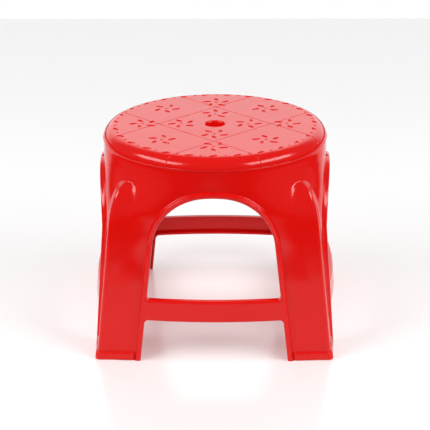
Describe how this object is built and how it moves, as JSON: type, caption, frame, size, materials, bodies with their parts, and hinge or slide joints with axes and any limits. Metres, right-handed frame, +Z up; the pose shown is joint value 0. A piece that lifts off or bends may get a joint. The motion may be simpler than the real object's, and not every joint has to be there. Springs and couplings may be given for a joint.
{
  "type": "low round stool",
  "caption": "Low round moulded plastic stool: patterned round seat with a finger hole, square splayed legs, arched side openings and stretchers.",
  "frame": {"origin": "on the floor under the centre of the seat", "axes": "+Z up through the finger hole, -Y and +X out of two of the four equal faces"},
  "size_m": [0.3156, 0.3156, 0.267],
  "materials": {
    "moulding": "glossy injection-moulded polypropylene"
  },
  "bodies": {
    "root": {"finger_hole_collar": "moulding", "foot_lip_back_left": "moulding", "foot_lip_back_right": "moulding", "foot_lip_front_left": "moulding", "foot_lip_front_right": "moulding", "leg_back_left": "moulding", "leg_back_right": "moulding", "leg_front_left": "moulding", "leg_front_right": "moulding", "opening_border_back": "moulding", "opening_border_front": "moulding", "opening_border_left": "moulding", "opening_border_right": "moulding", "seat_rib_1": "moulding", "seat_rib_2": "moulding", "seat_rib_3": "moulding", "seat_rib_4": "moulding", "seat_rib_5": "moulding", "seat_rib_6": "moulding", "seat_rib_7": "moulding", "seat_rib_8": "moulding", "seat_rim": "moulding", "seat_top": "moulding", "skirt_band": "moulding", "stretcher_back": "moulding", "stretcher_front": "moulding", "stretcher_left": "moulding", "stretcher_right": "moulding"}
  },
  "joints": []
}
